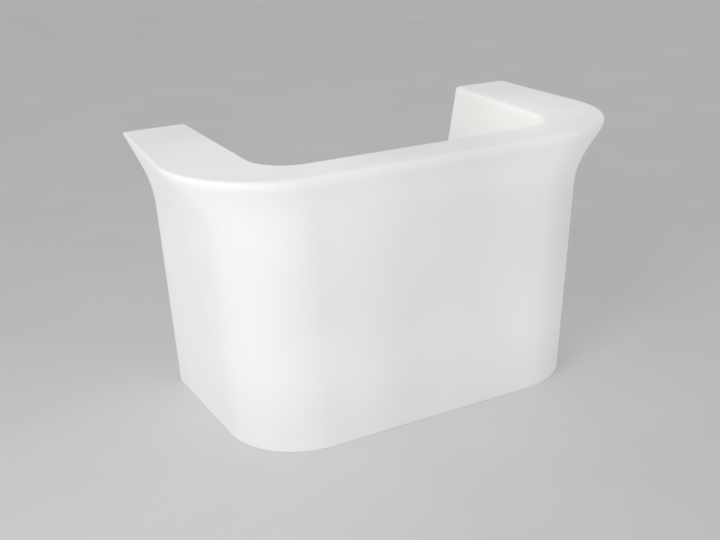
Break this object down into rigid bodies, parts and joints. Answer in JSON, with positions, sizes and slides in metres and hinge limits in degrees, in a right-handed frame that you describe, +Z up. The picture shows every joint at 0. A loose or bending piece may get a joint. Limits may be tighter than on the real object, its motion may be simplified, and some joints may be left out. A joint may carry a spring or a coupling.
{
  "type": "illuminated bar counter",
  "caption": "U-shaped moulded bar counter with a flared lip, lit from within by lamp battens behind service hatches in the serving bay.",
  "frame": {"origin": "on the floor under the middle of the counter's plan", "axes": "+X to the right seen from the guests' side, +Y towards the open back where the server stands, +Z up"},
  "size_m": [1.867, 0.9399, 1.1],
  "materials": {
    "shell_plastic": "translucent white polyethylene, fine moulded satin",
    "cover_plastic": "white moulded satin",
    "gasket_rubber": "matt black",
    "stainless_steel": "plain machined",
    "insert_brass": "plain machined",
    "contact_brass": "tinned bright",
    "bracket_steel": "white powder coat",
    "channel_aluminium": "natural anodised",
    "strip_board": "white solder mask",
    "diode_lens": "yellow phosphor",
    "opal_plastic": "opal",
    "cap_plastic": "light grey moulded",
    "box_plastic": "grey moulded",
    "driver_case": "dark grey enamel",
    "terminal_plastic": "green moulded",
    "black_plastic": "black moulded",
    "clip_plastic": "natural moulded",
    "lead_sheath": "white sheath",
    "rocker_plastic": "black gloss",
    "foot_plastic": "black moulded"
  },
  "bodies": {
    "counter": {"batten_brackets_front": "bracket_steel", "batten_brackets_left": "bracket_steel", "batten_brackets_right": "bracket_steel", "batten_channel_front": "channel_aluminium", "batten_channel_left": "channel_aluminium", "batten_channel_right": "channel_aluminium", "batten_diffuser_front": "opal_plastic", "batten_diffuser_left": "opal_plastic", "batten_diffuser_right": "opal_plastic", "batten_end_caps_front": "cap_plastic", "batten_end_caps_left": "cap_plastic", "batten_end_caps_right": "cap_plastic", "counter_shell": "shell_plastic", "diode_strip_front": "strip_board", "diode_strip_left": "strip_board", "diode_strip_right": "strip_board", "diodes_front": "diode_lens", "diodes_left": "diode_lens", "diodes_right": "diode_lens", "driver_module": "driver_case", "foot_inserts": "insert_brass", "hatch_cover_front": "cover_plastic", "hatch_cover_left": "cover_plastic", "hatch_cover_right": "cover_plastic", "hatch_gasket_front": "gasket_rubber", "hatch_gasket_left": "gasket_rubber", "hatch_gasket_right": "gasket_rubber", "hatch_inserts": "insert_brass", "hatch_screws_front": "stainless_steel", "hatch_screws_left": "stainless_steel", "hatch_screws_right": "stainless_steel", "inlet_pins": "contact_brass", "inlet_socket": "black_plastic", "lead_clips": "clip_plastic", "lead_front": "lead_sheath", "lead_glands": "black_plastic", "lead_left": "lead_sheath", "lead_right": "lead_sheath", "supply_box": "box_plastic", "switch_blades": "contact_brass", "switch_frame": "black_plastic", "terminal_block": "terminal_plastic"},
    "rocker": {"switch_rocker": "rocker_plastic"},
    "foot_left_back": {"foot_stem_left_back": "stainless_steel", "foot_pad_left_back": "foot_plastic"},
    "foot_left_front": {"foot_stem_left_front": "stainless_steel", "foot_pad_left_front": "foot_plastic"},
    "foot_right_back": {"foot_stem_right_back": "stainless_steel", "foot_pad_right_back": "foot_plastic"},
    "foot_right_front": {"foot_stem_right_front": "stainless_steel", "foot_pad_right_front": "foot_plastic"}
  },
  "joints": [
    {"name": "rocker_tilt", "type": "hinge", "parent": "counter", "child": "rocker", "pos_m": [0.048, -0.19024, 0.50558], "axis": [-1, 0, 0], "range_deg": [-18, 0]},
    {"name": "foot_left_back_wind", "type": "slide", "parent": "counter", "child": "foot_left_back", "axis": [0, 0, -1], "range_m": [0, 0.016]},
    {"name": "foot_left_front_wind", "type": "slide", "parent": "counter", "child": "foot_left_front", "axis": [0, 0, -1], "range_m": [0, 0.016]},
    {"name": "foot_right_back_wind", "type": "slide", "parent": "counter", "child": "foot_right_back", "axis": [0, 0, -1], "range_m": [0, 0.016]},
    {"name": "foot_right_front_wind", "type": "slide", "parent": "counter", "child": "foot_right_front", "axis": [0, 0, -1], "range_m": [0, 0.016]}
  ]
}
